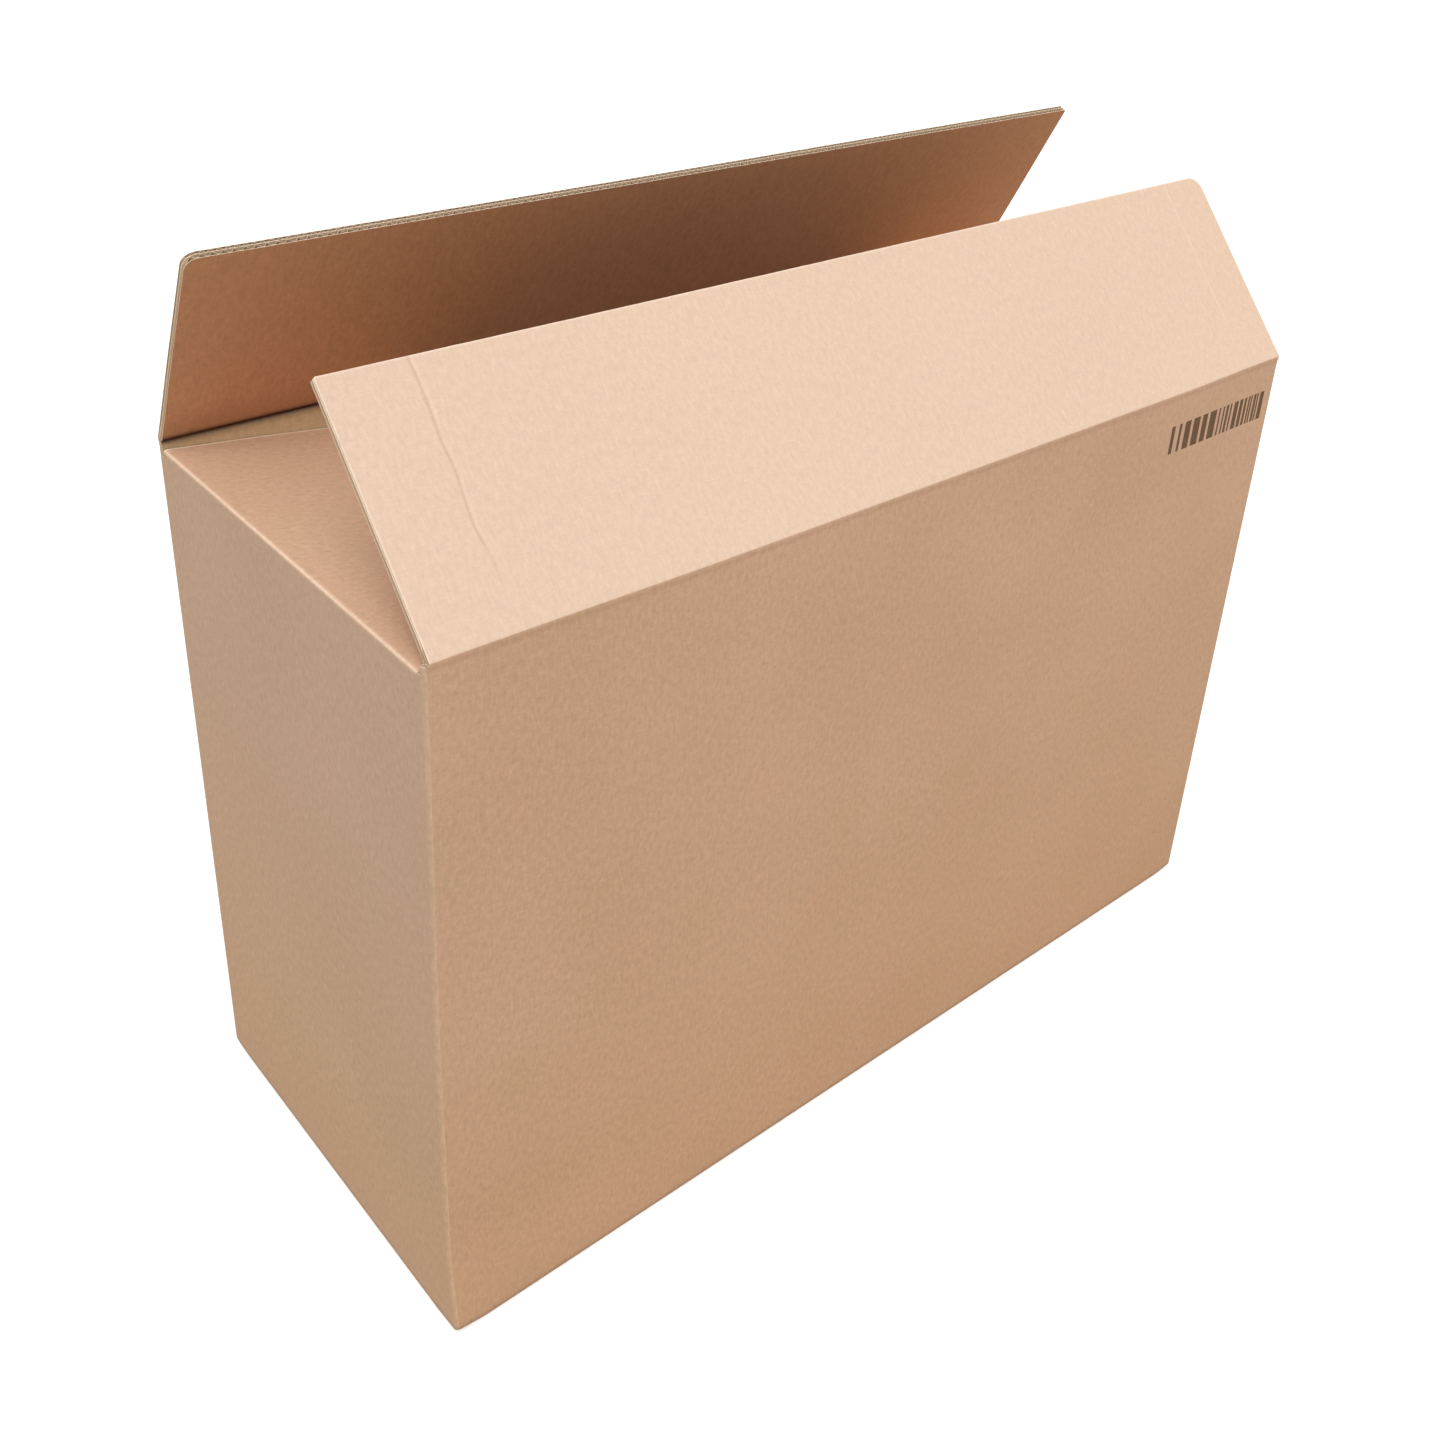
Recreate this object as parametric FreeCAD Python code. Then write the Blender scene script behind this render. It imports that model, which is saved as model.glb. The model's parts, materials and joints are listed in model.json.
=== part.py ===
import FreeCAD, Part
import math
import os

# Slotted shipping carton of double-wall corrugated board, standing open.
# Millimetres, +Z up, origin at the middle of the base.
# The long panels are front (-Y) and back (+Y), and the end panels are left (-X) and right (+X).
V = FreeCAD.Vector

# Outside size of the standing carton
carton_length = 930.0
carton_width = 395.0
carton_height = 630.0

# Corrugated board: liner, coarse flute, middle liner, fine flute, liner
board = 6.8
liner = 0.4
flute_medium = 0.45
coarse_flute_height = 3.4
coarse_flute_pitch = 7.9
fine_flute_pitch = 6.35
flute_tip_gap = 0.1
open_flute_depth = 3.0
side_groove_depth = 0.8

# Creases: outer liner is rounded, inner liner is folded nearly sharp
crease_radius = 5.0
inner_crease_radius = 1.0

# Long top flaps, hinged at the front and back creases
long_flap_length = 194.0
front_flap_lean = 48.0
back_flap_lean = 63.1
hinge_clearance = 0.25
front_flap_left_inset = 5.2
front_flap_right_inset = 0.5
back_flap_left_inset = 0.5
back_flap_right_inset = 0.5
front_flap_corner_radius = 14.0
back_flap_corner_radius = 10.0
cut_corner_radius = 1.5

# Short top flaps, folded in over the mouth
short_flap_length = 192.0
short_flap_droop = 6.7
slot_gap = 1.2
slot_depth_below_crease = 6.0
corner_post_drop = 1.2

# Bottom flaps, folded shut and glued, short ones inside the long ones
bottom_long_flap_length = 194.0
bottom_short_flap_length = 192.0
end_heel_height = 1.2
heel_gap = 0.6
corner_lift = 5.0

# Glued joint of the blank, at the back right corner
glue_tab_width = 38.0
glue_tab_end_bevel = 12.0
glue_tab_end_gap = 14.0

# Sizes that follow from the ones above
half_length = carton_length / 2
half_width = carton_width / 2
inner_half_length = half_length - board
inner_half_width = half_width - board
pivot_y = half_width + hinge_clearance / 2
flap_face_depth = hinge_clearance / 2
mitre_offset = hinge_clearance / math.sqrt(2)
seat_height = carton_height - flap_face_depth - board - hinge_clearance
short_crease_height = seat_height - hinge_clearance
short_flap_half_width = inner_half_width - slot_gap
post_top = carton_height - corner_post_drop
far = 2 * carton_length


def rounded_outline(corners):
    """Closed wire through (point, radius) corners, with a tangent arc at each rounded one."""
    count = len(corners)
    starts = []
    ends = []
    arcs = []
    for i in range(count):
        point, radius = corners[i]
        if radius <= 0:
            starts.append(point)
            ends.append(point)
            arcs.append(None)
            continue
        back = (corners[i - 1][0] - point).normalize()
        ahead = (corners[(i + 1) % count][0] - point).normalize()
        half_angle = back.getAngle(ahead) / 2
        setback = radius / math.tan(half_angle)
        middle_way = (back + ahead).normalize()
        middle = point + middle_way * (radius / math.sin(half_angle) - radius)
        starts.append(point + back * setback)
        ends.append(point + ahead * setback)
        arcs.append(middle)
    edges = []
    for i in range(count):
        if arcs[i] is not None:
            edges.append(Part.Arc(starts[i], arcs[i], ends[i]).toShape())
        following = starts[(i + 1) % count]
        if ends[i].distanceToPoint(following) > 1e-6:
            edges.append(Part.LineSegment(ends[i], following).toShape())
    return Part.Wire(edges)


def sharp(points):
    """The points as corners with no rounding."""
    return [(point, 0.0) for point in points]


def prism(corners, along):
    """Solid swept from a closed outline along a vector."""
    return Part.Face(rounded_outline(corners)).extrude(along)


def block(x0, x1, y0, y1, z0, z1):
    """Box between two opposite corners."""
    return Part.makeBox(x1 - x0, y1 - y0, z1 - z0, V(x0, y0, z0))


def mirrored_x(shape):
    """The shape on the other end of the carton."""
    return shape.mirror(V(0, 0, 0), V(1, 0, 0))


def mirrored_y(shape):
    """The shape on the other side of the carton."""
    return shape.mirror(V(0, 0, 0), V(0, 1, 0))


def wall_ring():
    """Four upright panels with creased corners, and the raw edge of the glued joint at the back right."""
    low = corner_lift
    upward = V(0, 0, carton_height - low)
    outer = [
        (V(-half_length, -half_width, low), crease_radius),
        (V(half_length, -half_width, low), crease_radius),
        (V(half_length, inner_half_width - crease_radius, low), 0.0),
        (V(half_length - crease_radius, inner_half_width, low), 0.0),
        (V(half_length, inner_half_width, low), 0.0),
        (V(half_length, half_width, low), 0.0),
        (V(-half_length, half_width, low), crease_radius),
    ]
    inner = [
        (V(-inner_half_length, -inner_half_width, low), inner_crease_radius),
        (V(inner_half_length, -inner_half_width, low), inner_crease_radius),
        (V(inner_half_length, inner_half_width, low), inner_crease_radius),
        (V(-inner_half_length, inner_half_width, low), inner_crease_radius),
    ]
    return prism(outer, upward).cut(prism(inner, upward))


def glue_tab():
    """Tab of the right end panel, lapped inside the back panel and glued to it."""
    root = inner_half_length
    tip = root - glue_tab_width
    low = 2 * board + glue_tab_end_gap
    high = short_crease_height - board - glue_tab_end_gap
    face = inner_half_width
    corners = [
        V(root, face, low),
        V(tip, face, low + glue_tab_end_bevel),
        V(tip, face, high - glue_tab_end_bevel),
        V(root, face, high),
    ]
    return prism(sharp(corners), V(0, -board, 0))


def left_end_strip():
    """Left end panel with its drooping top flap and its closed bottom flap, folded from one strip."""
    droop = math.radians(short_flap_droop)
    inward = V(math.cos(droop), 0, -math.sin(droop))
    underside = V(-math.sin(droop), 0, -math.cos(droop))
    start = -short_flap_half_width
    top_crease = V(-half_length, start, short_crease_height)
    top_edge = top_crease + inward * short_flap_length
    top_edge_under = top_edge + underside * board
    reach_in = board / math.cos(droop)
    inner_crease_z = short_crease_height - board * math.tan(droop) - reach_in
    heel_x = -inner_half_length + heel_gap
    bottom_edge_x = -half_length + bottom_short_flap_length
    corners = [
        (top_edge, 0.0),
        (top_crease, crease_radius),
        (V(-half_length, start, end_heel_height), crease_radius),
        (V(heel_x, start, end_heel_height), 0.0),
        (V(heel_x, start, board), 0.0),
        (V(bottom_edge_x, start, board), 0.0),
        (V(bottom_edge_x, start, 2 * board), 0.0),
        (V(-inner_half_length, start, 2 * board), inner_crease_radius),
        (V(-inner_half_length, start, inner_crease_z), inner_crease_radius),
        (top_edge_under, 0.0),
    ]
    return prism(corners, V(0, 2 * short_flap_half_width, 0))


def front_bottom_strip():
    """Foot of the front panel, creased under into its closed bottom flap."""
    start = -inner_half_length + 2 * heel_gap
    edge_y = -half_width + bottom_long_flap_length
    overlap_z = corner_lift + 2 * crease_radius
    corners = [
        (V(start, -half_width, overlap_z), 0.0),
        (V(start, -half_width, 0), crease_radius),
        (V(start, edge_y, 0), 0.0),
        (V(start, edge_y, board), 0.0),
        (V(start, -inner_half_width, board), inner_crease_radius),
        (V(start, -inner_half_width, overlap_z), 0.0),
    ]
    return prism(corners, V(-2 * start, 0, 0))


def end_slots():
    """What the slots and the short flap's crease take from the top of the left end panel."""
    floor = short_crease_height - slot_depth_below_crease
    return block(-far, -inner_half_length + board, -inner_half_width, inner_half_width, floor, far)


def left_post_trim():
    """What stands too high of the crease's end, beside the front flap's left end."""
    post_x = -half_length + front_flap_left_inset - slot_gap
    return block(-far, post_x, -far, far, post_top, far)


def front_flap_seat(left_inset, right_inset):
    """Space that a closed front flap takes from the wall tops, mitred down the thickness of the panel."""
    x0 = -half_length + left_inset - slot_gap
    x1 = half_length - right_inset + slot_gap
    overshoot = board
    mitre_top = carton_height - mitre_offset
    outside_y = -pivot_y - overshoot
    floor_y = -pivot_y + mitre_top - seat_height
    corners = [
        V(x0, outside_y, mitre_top + overshoot),
        V(x0, floor_y, seat_height),
        V(x0, 0, seat_height),
        V(x0, 0, far),
        V(x0, outside_y, far),
    ]
    return prism(sharp(corners), V(x1 - x0, 0, 0))


def carton_body():
    """Everything of the folded blank that does not move: walls, bottom and short top flaps."""
    ring = wall_ring()
    front_seat = front_flap_seat(front_flap_left_inset, front_flap_right_inset)
    back_seat = mirrored_y(front_flap_seat(back_flap_left_inset, back_flap_right_inset))
    cuts = [end_slots(), mirrored_x(end_slots()), left_post_trim(), front_seat, back_seat]
    walls = ring.cut(cuts)
    strips = [
        left_end_strip(),
        mirrored_x(left_end_strip()),
        front_bottom_strip(),
        mirrored_y(front_bottom_strip()),
        glue_tab(),
    ]
    return walls.fuse(strips).removeSplitter()


def flute_ribbon(x0, x1, floor, height, pitch, y0, y1):
    """Zigzag medium seen at a cut edge: one tooth each pitch, standing between two liners."""
    teeth = int((x1 - x0) / pitch)
    margin = ((x1 - x0) - teeth * pitch) / 2
    low = floor + flute_tip_gap
    high = floor + height - flute_tip_gap - flute_medium
    lower = []
    for i in range(2 * teeth + 1):
        level = high if i % 2 else low
        lower.append(V(x0 + margin + i * pitch / 2, y0, level))
    upper = [point + V(0, 0, flute_medium) for point in reversed(lower)]
    return prism(sharp(lower + upper), V(0, y1 - y0, 0))


def closed_front_flap(left_inset, right_inset, left_radius, right_radius):
    """Front flap as it lies closed: mitred at its crease, with the flutes open along its free edge."""
    x0 = -half_length + left_inset
    x1 = half_length - right_inset
    top = carton_height - flap_face_depth
    under = top - board
    crease_y = -pivot_y + flap_face_depth + mitre_offset
    edge_y = -half_width + long_flap_length
    plate_corners = [
        V(x0, crease_y, top),
        V(x0, crease_y + board, under),
        V(x0, edge_y, under),
        V(x0, edge_y, top),
    ]
    plate = prism(sharp(plate_corners), V(x1 - x0, 0, 0))

    coarse_floor = under + liner
    fine_floor = coarse_floor + coarse_flute_height + liner
    fine_flute_height = top - liner - fine_floor
    rows = [
        (coarse_floor, coarse_flute_height, coarse_flute_pitch),
        (fine_floor, fine_flute_height, fine_flute_pitch),
    ]
    inner_x0 = x0 + side_groove_depth
    inner_x1 = x1 - side_groove_depth
    flute_y = edge_y - open_flute_depth
    groove_y = crease_y + 2 * board
    cuts = []
    ribbons = []
    for floor, height, pitch in rows:
        ceiling = floor + height
        cuts.append(block(x0 - board, inner_x0, groove_y, edge_y + board, floor, ceiling))
        cuts.append(block(inner_x1, x1 + board, groove_y, edge_y + board, floor, ceiling))
        cuts.append(block(inner_x0, inner_x1, flute_y, edge_y + board, floor, ceiling))
        ribbons.append(flute_ribbon(inner_x0, inner_x1, floor, height, pitch, flute_y, edge_y))

    below = under - board
    outline = [
        (V(x0, edge_y, below), left_radius),
        (V(x0, crease_y - board, below), 0.0),
        (V(x1, crease_y - board, below), 0.0),
        (V(x1, edge_y, below), right_radius),
    ]
    trimmed_to = prism(outline, V(0, 0, 3 * board))
    return plate.cut(cuts).fuse(ribbons).common(trimmed_to)


def front_flap():
    """Front flap, leaning inward over the mouth."""
    flap = closed_front_flap(
        front_flap_left_inset, front_flap_right_inset, cut_corner_radius, front_flap_corner_radius
    )
    flap.rotate(V(0, -pivot_y, carton_height), V(1, 0, 0), front_flap_lean)
    return flap


def back_flap():
    """Back flap, standing up and leaning a little inward."""
    flap = mirrored_y(
        closed_front_flap(
            back_flap_left_inset, back_flap_right_inset, back_flap_corner_radius, cut_corner_radius
        )
    )
    flap.rotate(V(0, pivot_y, carton_height), V(-1, 0, 0), back_flap_lean)
    return flap


nodes = {
    "carton_body": carton_body(),
    "front_flap": front_flap(),
    "back_flap": back_flap(),
}

os.makedirs("parts", exist_ok=True)
for name, shape in nodes.items():
    solid = shape.Solids[0] if len(shape.Solids) == 1 else shape
    solid.exportStep("parts/" + name + ".step")
    print(name, len(shape.Solids), "solid", solid.isValid(), round(solid.Volume), "mm3")
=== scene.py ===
import json
import math

import bpy
from mathutils import Matrix, Vector, noise


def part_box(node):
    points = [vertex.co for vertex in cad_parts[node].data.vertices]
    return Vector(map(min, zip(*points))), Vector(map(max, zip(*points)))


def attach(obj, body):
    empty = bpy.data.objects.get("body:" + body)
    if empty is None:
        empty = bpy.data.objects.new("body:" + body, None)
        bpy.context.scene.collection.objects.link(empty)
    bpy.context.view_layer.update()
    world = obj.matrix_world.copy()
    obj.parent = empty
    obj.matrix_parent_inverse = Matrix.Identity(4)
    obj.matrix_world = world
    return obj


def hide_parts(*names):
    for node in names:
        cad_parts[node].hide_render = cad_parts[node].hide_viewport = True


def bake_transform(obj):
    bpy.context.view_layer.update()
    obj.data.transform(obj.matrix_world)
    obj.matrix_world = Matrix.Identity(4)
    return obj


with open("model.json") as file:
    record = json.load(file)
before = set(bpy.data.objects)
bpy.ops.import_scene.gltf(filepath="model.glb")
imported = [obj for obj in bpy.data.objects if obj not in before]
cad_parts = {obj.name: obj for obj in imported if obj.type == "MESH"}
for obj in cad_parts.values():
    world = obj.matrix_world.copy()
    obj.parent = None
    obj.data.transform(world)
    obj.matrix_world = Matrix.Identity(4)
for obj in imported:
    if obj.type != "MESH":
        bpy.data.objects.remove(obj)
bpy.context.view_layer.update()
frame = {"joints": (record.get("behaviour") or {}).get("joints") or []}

# Finish of a slotted shipping carton of double-wall board, standing open.
# Metres, +Z up. The long panels are front (-Y) and back (+Y), the end panels left and right.
MM = 0.001
CREASES = {joint["child"]: joint for joint in frame["joints"]}
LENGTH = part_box("carton_body")[1].x * 2
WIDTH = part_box("carton_body")[1].y * 2
HEIGHT = CREASES["front_flap"]["pos_m"][2]
HALF_LENGTH = LENGTH / 2
HALF_WIDTH = WIDTH / 2

# Board, from the outer face inward: liner, fine flute, middle liner, coarse flute, liner
BOARD = 6.8 * MM
LINER = 0.4 * MM
MEDIUM = 0.45 * MM
COARSE_HEIGHT = 3.4 * MM
FINE_HEIGHT = BOARD - 3 * LINER - COARSE_HEIGHT
COARSE_PITCH = 7.9 * MM
FINE_PITCH = 6.35 * MM

# How far the flutes lie back between the liners, on the free edge and on the side edges
END_RECESS = 3.0 * MM
SIDE_RECESS = 0.9 * MM

# Creases. A flap's piece reaches a stub below its crease, and the walls go on from there.
CORNER_RADIUS = 3.2 * MM
INNER_RADIUS = 1.0 * MM
CREASE_RADIUS = 3.4 * MM
STUB = 14 * MM
STUB_TOP = HEIGHT - STUB

# Foot of the walls: its height, its rounding, and how it rises at the end panels and corners
FOOT = 20 * MM
FOOT_RADIUS = 3.2 * MM
HEEL = 1.2 * MM
CORNER_RISE = 4 * MM

# Flaps
FLAP_LENGTH = 194 * MM
SHORT_FLAP_LENGTH = 192 * MM
SHORT_DROOP = math.radians(6.7)
SHORT_HALF_WIDTH = 189.5 * MM
SHORT_CREASE_Z = HEIGHT - BOARD - 0.62 * MM
END_STUB_TOP = SHORT_CREASE_Z - STUB
LONG_BOTTOM_HALF = 457 * MM
FRONT_LEFT_INSET = 5.2 * MM
FLAP_INSET = 0.5 * MM
POST_TOP = HEIGHT - 1.2 * MM

# Finishes of a board mesh, by material index
LINER_FACE, CUT_EDGE, FLUTE = range(3)


def smooth(value, low, high):
    """0 below low, 1 above high, and an even S between."""
    share = min(1.0, max(0.0, (value - low) / (high - low)))
    return share * share * (3 - 2 * share)


def spaced(start, end, step, marks=()):
    """Rising places from start to end about a step apart, with the marks among them."""
    count = max(1, round((end - start) / step))
    places = [start + (end - start) * i / count for i in range(count + 1)]
    places = [p for p in places if all(abs(p - m) > step * 0.25 for m in marks)]
    kept = {start, end, *places, *(m for m in marks if start < m < end)}
    return sorted(kept)


def ripple(place, grain, seed):
    """Slow unevenness between -1 and 1 at a place on the board."""
    return noise.noise(Vector(place) * grain + Vector((seed, 0, 0)))


def crease_sag(x):
    """How far the front crease hangs below a straight line, most over its middle half."""
    return 2.2 * MM * smooth(x, -0.46, -0.2) * (1 - smooth(x, 0.3, 0.45))


def settled(point):
    """A point of the standing walls, moved as its panels bow and the front left corner leans in."""
    x, y, z = point
    up = z / HEIGHT
    near_front = 1 - smooth(y, -HALF_WIDTH, 0)
    near_back = smooth(y, 0, HALF_WIDTH)
    near_left = 1 - smooth(x, -HALF_LENGTH, 0)
    near_right = smooth(x, 0, HALF_LENGTH)
    lean = 7 * MM * (1 - smooth(up, 0.45, 0.98)) * smooth(up, 0, 0.14)
    across_x = math.sin(math.pi * min(1, max(0, x / LENGTH + 0.5)))
    across_y = math.sin(math.pi * min(1, max(0, y / WIDTH + 0.5)))
    belly = math.sin(math.pi * min(1, max(0, up)))
    uneven = 0.5 + 0.5 * ripple(point, 5.0, 3.0)
    front_in = lean * near_left + (1.4 + 0.9 * uneven) * MM * across_x * belly
    front_in += 0.03 * MM * smooth(1 - up, 0, 0.03) * smooth(up, 0, 0.03)
    back_in = (1.0 + 0.8 * uneven) * MM * across_x * belly
    side_in = (1.2 + 0.8 * uneven) * MM * across_y * belly
    top_drop = crease_sag(x) * near_front * smooth(z, HEIGHT - 0.12, HEIGHT)
    from_corner = math.hypot(HALF_LENGTH - abs(x), HALF_WIDTH - abs(y))
    rise = CORNER_RISE * (1 - smooth(from_corner, 0, 16 * MM)) * max(0, 1 - z / FOOT)
    moved_x = x + side_in * (near_left - near_right)
    moved_y = y + front_in * near_front - back_in * near_back
    return Vector((moved_x, moved_y, z - top_drop + rise))


class Sheet:
    """Board being meshed: corners that know their place on the flat blank, and faces with a finish."""

    def __init__(self):
        self.points = []
        self.blanks = []
        self.faces = []
        self.finishes = []

    def corner(self, point, blank):
        self.points.append(point)
        self.blanks.append(blank)
        return len(self.points) - 1

    def face(self, corners, finish):
        self.faces.append(corners)
        self.finishes.append(finish)

    def made(self, name, materials):
        mesh = bpy.data.meshes.new(name)
        mesh.from_pydata(self.points, [], self.faces)
        blank = mesh.attributes.new("blank", "FLOAT_VECTOR", "POINT")
        blank.data.foreach_set("vector", [value for place in self.blanks for value in place])
        for material in materials:
            mesh.materials.append(material)
        mesh.polygons.foreach_set("material_index", self.finishes)
        mesh.shade_smooth()
        mesh.set_sharp_from_angle(angle=math.radians(32))
        piece = bpy.data.objects.new(name, mesh)
        bpy.context.scene.collection.objects.link(piece)
        return piece


def two_skins(sheet, columns, rows, place, blank_at, present, closed=False):
    """Outer and inner faces of a board on a grid, and plain cut faces where the grid ends."""
    index = {}

    def corner(i, j, depth):
        i = i % len(columns) if closed else i
        key = (i, j, depth)
        if key not in index:
            u, h = blank_at(columns[i], rows[j])
            index[key] = sheet.corner(place(columns[i], rows[j], depth), (u, h, depth))
        return index[key]

    spans = len(columns) if closed else len(columns) - 1

    def here(i, j):
        if closed:
            i = i % len(columns)
        if not (0 <= i < spans and 0 <= j < len(rows) - 1):
            return False
        return present(i, j)

    for i in range(spans):
        for j in range(len(rows) - 1):
            if not here(i, j):
                continue
            ring = [(i, j), (i + 1, j), (i + 1, j + 1), (i, j + 1)]
            sheet.face([corner(a, b, 0.0) for a, b in ring], LINER_FACE)
            sheet.face([corner(a, b, BOARD) for a, b in reversed(ring)], LINER_FACE)
            beyond = [(i, j - 1), (i + 1, j), (i, j + 1), (i - 1, j)]
            for side, (a, b) in enumerate(beyond):
                if here(a, b):
                    continue
                start = ring[(side + 1) % 4]
                end = ring[side]
                sheet.face(
                    [
                        corner(*start, 0.0),
                        corner(*end, 0.0),
                        corner(*end, BOARD),
                        corner(*start, BOARD),
                    ],
                    CUT_EDGE,
                )


class Fold:
    """A panel's edge strip, its crease and the flap beyond, in the panel's own directions."""

    def __init__(self, start, along, outward, fold, length, blank_u):
        self.start = Vector(start)
        self.along = Vector(along)
        self.outward = Vector(outward)
        self.fold = fold
        self.length = length
        self.blank_u = blank_u
        self.lip = max(7.3 * MM, BOARD * math.tan(fold / 2) + 0.6 * MM)
        self.groove = 0.0
        self.groove_width = 2.4 * MM
        self.low_end = 0.0
        self.high_end = 0.0
        self.low_radius = 1.5 * MM
        self.high_radius = 1.5 * MM
        self.rounded_ends = (False, False)
        self.sag = None
        self.curl = 0.9 * MM
        self.seed = 1.0

    def flap_direction(self):
        return Vector((-math.sin(self.fold), math.cos(self.fold)))

    def flap_normal(self):
        return Vector((math.cos(self.fold), math.sin(self.fold)))

    def outer_line(self, v):
        reach = CREASE_RADIUS * math.tan(self.fold / 2)
        if v <= -reach:
            return Vector((0, v))
        if v >= reach:
            return self.flap_direction() * v
        turned = self.fold * (v + reach) / (2 * reach)
        middle = Vector((-CREASE_RADIUS, -reach))
        return middle + CREASE_RADIUS * Vector((math.cos(turned), math.sin(turned)))

    def inner_line(self, v):
        if v <= -self.lip:
            return Vector((-BOARD, v))
        if v >= self.lip:
            return self.flap_direction() * v - self.flap_normal() * BOARD
        wall_lip = Vector((-BOARD, -self.lip))
        flap_lip = self.flap_direction() * self.lip - self.flap_normal() * BOARD
        outward = Vector((math.cos(self.fold / 2), math.sin(self.fold / 2)))
        dip = self.groove * math.exp(-((v / self.groove_width) ** 2))
        return wall_lip.lerp(flap_lip, (v / self.lip + 1) / 2) + outward * dip

    def edge(self, s):
        """Distance from the crease to the free edge, with its two rounded corners."""
        cut = self.length - 0.35 * MM * (1 + ripple((s, 0, 0), 40, self.seed)) / 2
        corners = ((self.low_radius, s - self.low_end), (self.high_radius, self.high_end - s))
        for radius, inside in corners:
            if inside < radius:
                step = radius - max(0.0, inside)
                return cut - radius + math.sqrt(max(0.0, radius * radius - step * step))
        return cut

    def place(self, s, v, depth):
        share = depth / BOARD
        a, b = self.outer_line(v).lerp(self.inner_line(v), share)
        for rounded, inside in zip(self.rounded_ends, (s + HALF_LENGTH, HALF_LENGTH - s)):
            if rounded and inside < CORNER_RADIUS and v < 0:
                step = CORNER_RADIUS - inside
                setback = CORNER_RADIUS - math.sqrt(CORNER_RADIUS**2 - step**2)
                a -= setback * (1 - share) * smooth(-v, 0, 8 * MM)
        point = self.start + self.along * s + self.outward * a + Vector((0, 0, b))
        if v < 0:
            return settled(point)
        normal = self.flap_normal()
        away = smooth(v, 0, 0.08)
        bend = self.curl * away * ripple((s, v * 2, 0), 3.5, self.seed)
        point += (self.outward * normal.x + Vector((0, 0, normal.y))) * bend
        if self.sag:
            point.z -= self.sag(s) * (1 - smooth(v, 0, 0.13))
        return point

    def blank_at(self, s, v):
        return (self.blank_u + s, HEIGHT + v)


def comb_levels():
    """Depths across the board's cut edge, with whether each lies back between the liners."""
    fine_end = LINER + FINE_HEIGHT
    coarse_start = fine_end + LINER
    coarse_end = coarse_start + COARSE_HEIGHT
    return [
        (0.0, 0),
        (LINER, 0),
        (LINER, 1),
        (fine_end, 1),
        (fine_end, 0),
        (coarse_start, 0),
        (coarse_start, 1),
        (coarse_end, 1),
        (coarse_end, 0),
        (BOARD, 0),
    ]


def flap_rows(fold):
    """Places along the board from the strip below the crease to the free edge."""
    near = [n * fold.lip / 7 for n in range(-7, 8)]
    below = [-STUB, -STUB * 0.75]
    beyond = [fold.lip + 2 * MM, fold.lip + 5 * MM]
    rest = spaced(beyond[-1] + 6 * MM, fold.length, 13 * MM)
    return below + near + beyond + rest


def flap_columns(fold):
    """Places along the crease, close together on the rounded corners."""
    marks = []
    ends = ((fold.low_end, 1, fold.low_radius), (fold.high_end, -1, fold.high_radius))
    for end, sign, radius in ends:
        steps = 8 if radius > 3 * MM else 4
        for k in range(1, steps + 1):
            marks.append(end + sign * radius * (1 - math.cos(math.pi / 2 * k / steps)))
    for k in range(1, 5):
        marks.append(fold.low_end + k * 1.1 * MM)
        marks.append(fold.high_end - k * 1.1 * MM)
    plain = spaced(fold.low_end + 0.02, fold.high_end - 0.02, 16 * MM)
    return sorted({fold.low_end, fold.high_end, *marks, *plain})


def flap_board(sheet, fold):
    """A flap with its strip of wall and crease, and a cut edge that lies back between the liners."""
    columns = flap_columns(fold)
    rows = flap_rows(fold)
    bend_back = fold.length - 0.04

    def real_row(s, v):
        if v <= bend_back:
            return v
        return bend_back + (v - bend_back) * (fold.edge(s) - bend_back) / (fold.length - bend_back)

    def put(s, v, depth):
        return sheet.corner(fold.place(s, v, depth), (*fold.blank_at(s, v), depth))

    outer = [[put(s, real_row(s, v), 0.0) for v in rows] for s in columns]
    inner = [[put(s, real_row(s, v), BOARD) for v in rows] for s in columns]
    last = len(columns) - 1
    top = len(rows) - 1
    for i in range(last):
        for j in range(top):
            sheet.face(
                [outer[i][j], outer[i + 1][j], outer[i + 1][j + 1], outer[i][j + 1]], LINER_FACE
            )
            sheet.face(
                [inner[i][j + 1], inner[i + 1][j + 1], inner[i + 1][j], inner[i][j]], LINER_FACE
            )
        sheet.face([outer[i + 1][0], outer[i][0], inner[i][0], inner[i + 1][0]], CUT_EDGE)

    rim = [(0, j) for j in range(top + 1)]
    rim += [(i, top) for i in range(1, last + 1)]
    rim += [(last, j) for j in range(top - 1, -1, -1)]
    flat = [Vector((columns[i], real_row(columns[i], rows[j]))) for i, j in rim]
    strips = []
    for k, (i, j) in enumerate(rim):
        before = flat[max(0, k - 1)]
        after = flat[min(len(rim) - 1, k + 1)]
        run = (after - before).normalized()
        inward = Vector((run.y, -run.x))
        s, v = flat[k]
        recess = SIDE_RECESS + (END_RECESS - SIDE_RECESS) * abs(inward.y)
        recess *= smooth(v, fold.lip, fold.lip + 8 * MM)
        strip = [outer[i][j]]
        for depth, back in comb_levels()[1:-1]:
            set_in = flat[k] + inward * recess * back
            strip.append(put(set_in.x, set_in.y, depth))
        strip.append(inner[i][j])
        strips.append(strip)
    for one, two in zip(strips, strips[1:]):
        for k in range(len(one) - 1):
            sheet.face([one[k], two[k], two[k + 1], one[k + 1]], CUT_EDGE)


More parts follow.
